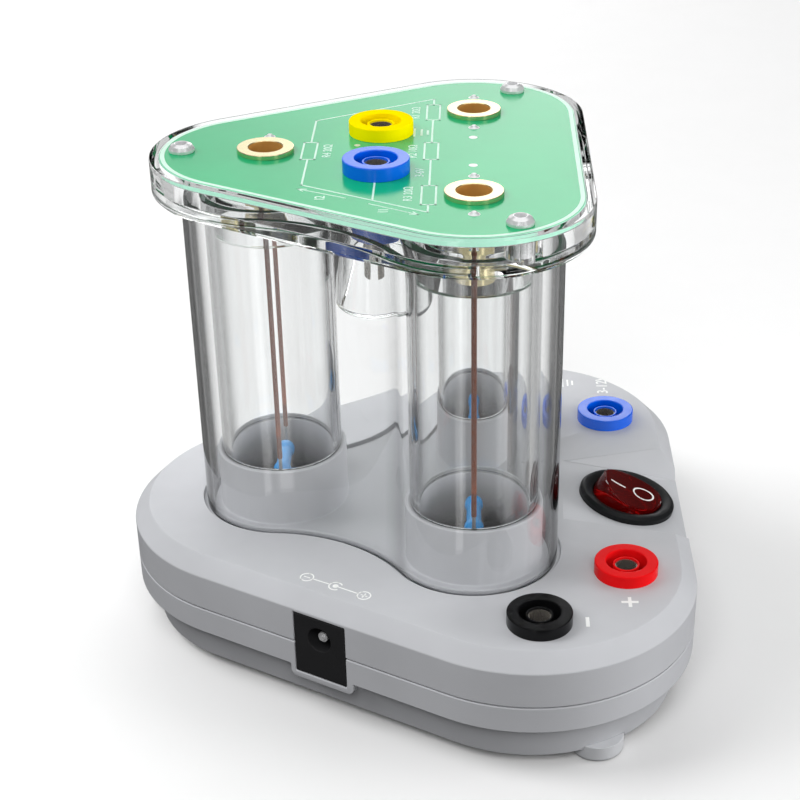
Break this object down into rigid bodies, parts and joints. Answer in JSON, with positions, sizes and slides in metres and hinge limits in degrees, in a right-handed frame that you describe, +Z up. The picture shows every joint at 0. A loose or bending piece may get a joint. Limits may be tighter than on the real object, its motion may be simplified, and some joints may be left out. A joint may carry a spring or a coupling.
{
  "type": "electric heating demonstrator",
  "caption": "Classroom electric heating demonstrator: clear chambers with resistor heaters, a circuit-board lid with ferrules and sockets, and a grey base with a rocker switch and supply inlet.",
  "frame": {"origin": "on the bench, under the middle of the base's bounding box", "axes": "+Z up, +X towards the side with the rocker switch, -Y towards the side with the supply inlet"},
  "size_m": [0.1163, 0.1238, 0.105],
  "materials": {
    "case_grey": "fine satin moulding",
    "foot_rubber": "matt",
    "screw_steel": "plated",
    "seat_grey": "fine satin moulding",
    "clear_acrylic": "polished clear plastic",
    "board_green": "glossy solder mask with white print",
    "ferrule_brass": "turned and polished",
    "contact_metal": "nickel plated",
    "plastic_yellow": "smooth moulding",
    "plastic_blue": "smooth moulding",
    "plastic_red": "smooth moulding",
    "plastic_black": "smooth moulding",
    "rocker_black": "fine satin moulding",
    "rocker_red": "tinted see-through moulding",
    "inlet_black": "matt moulding",
    "resistor_blue": "lacquered",
    "lead_tin": "tinned",
    "wire_copper": "enamelled copper"
  },
  "bodies": {
    "demonstrator": {"base_lower_shell": "case_grey", "base_upper_shell": "case_grey", "case_screws": "screw_steel", "chamber_seat": "seat_grey", "chamber_tube_a": "clear_acrylic", "chamber_tube_b": "clear_acrylic", "chamber_tube_c": "clear_acrylic", "circuit_board": "board_green", "clear_lid": "clear_acrylic", "clear_wall": "clear_acrylic", "contact_base_blue": "contact_metal", "contact_black": "contact_metal", "contact_lid_blue": "contact_metal", "contact_red": "contact_metal", "contact_yellow": "contact_metal", "feet": "foot_rubber", "ferrule_a": "ferrule_brass", "ferrule_b": "ferrule_brass", "ferrule_c": "ferrule_brass", "heater_wires_a": "wire_copper", "heater_wires_b": "wire_copper", "heater_wires_c": "wire_copper", "inlet_blades": "contact_metal", "inlet_housing": "inlet_black", "inlet_pin": "contact_metal", "lid_screws": "screw_steel", "resistor_a": "resistor_blue", "resistor_b": "resistor_blue", "resistor_c": "resistor_blue", "resistor_leads_a": "lead_tin", "resistor_leads_b": "lead_tin", "resistor_leads_c": "lead_tin", "rocker_blades": "contact_metal", "rocker_housing": "rocker_black", "socket_base_blue": "plastic_blue", "socket_black": "plastic_black", "socket_lid_blue": "plastic_blue", "socket_nuts": "contact_metal", "socket_red": "plastic_red", "socket_yellow": "plastic_yellow", "solder_joints": "lead_tin"},
    "rocker": {"rocker_button": "rocker_red"}
  },
  "joints": [
    {"name": "rocker_tilt", "type": "hinge", "parent": "demonstrator", "child": "rocker", "pos_m": [0.04624, 0, 0.02515], "axis": [0, -1, 0], "range_deg": [0, 28]}
  ]
}
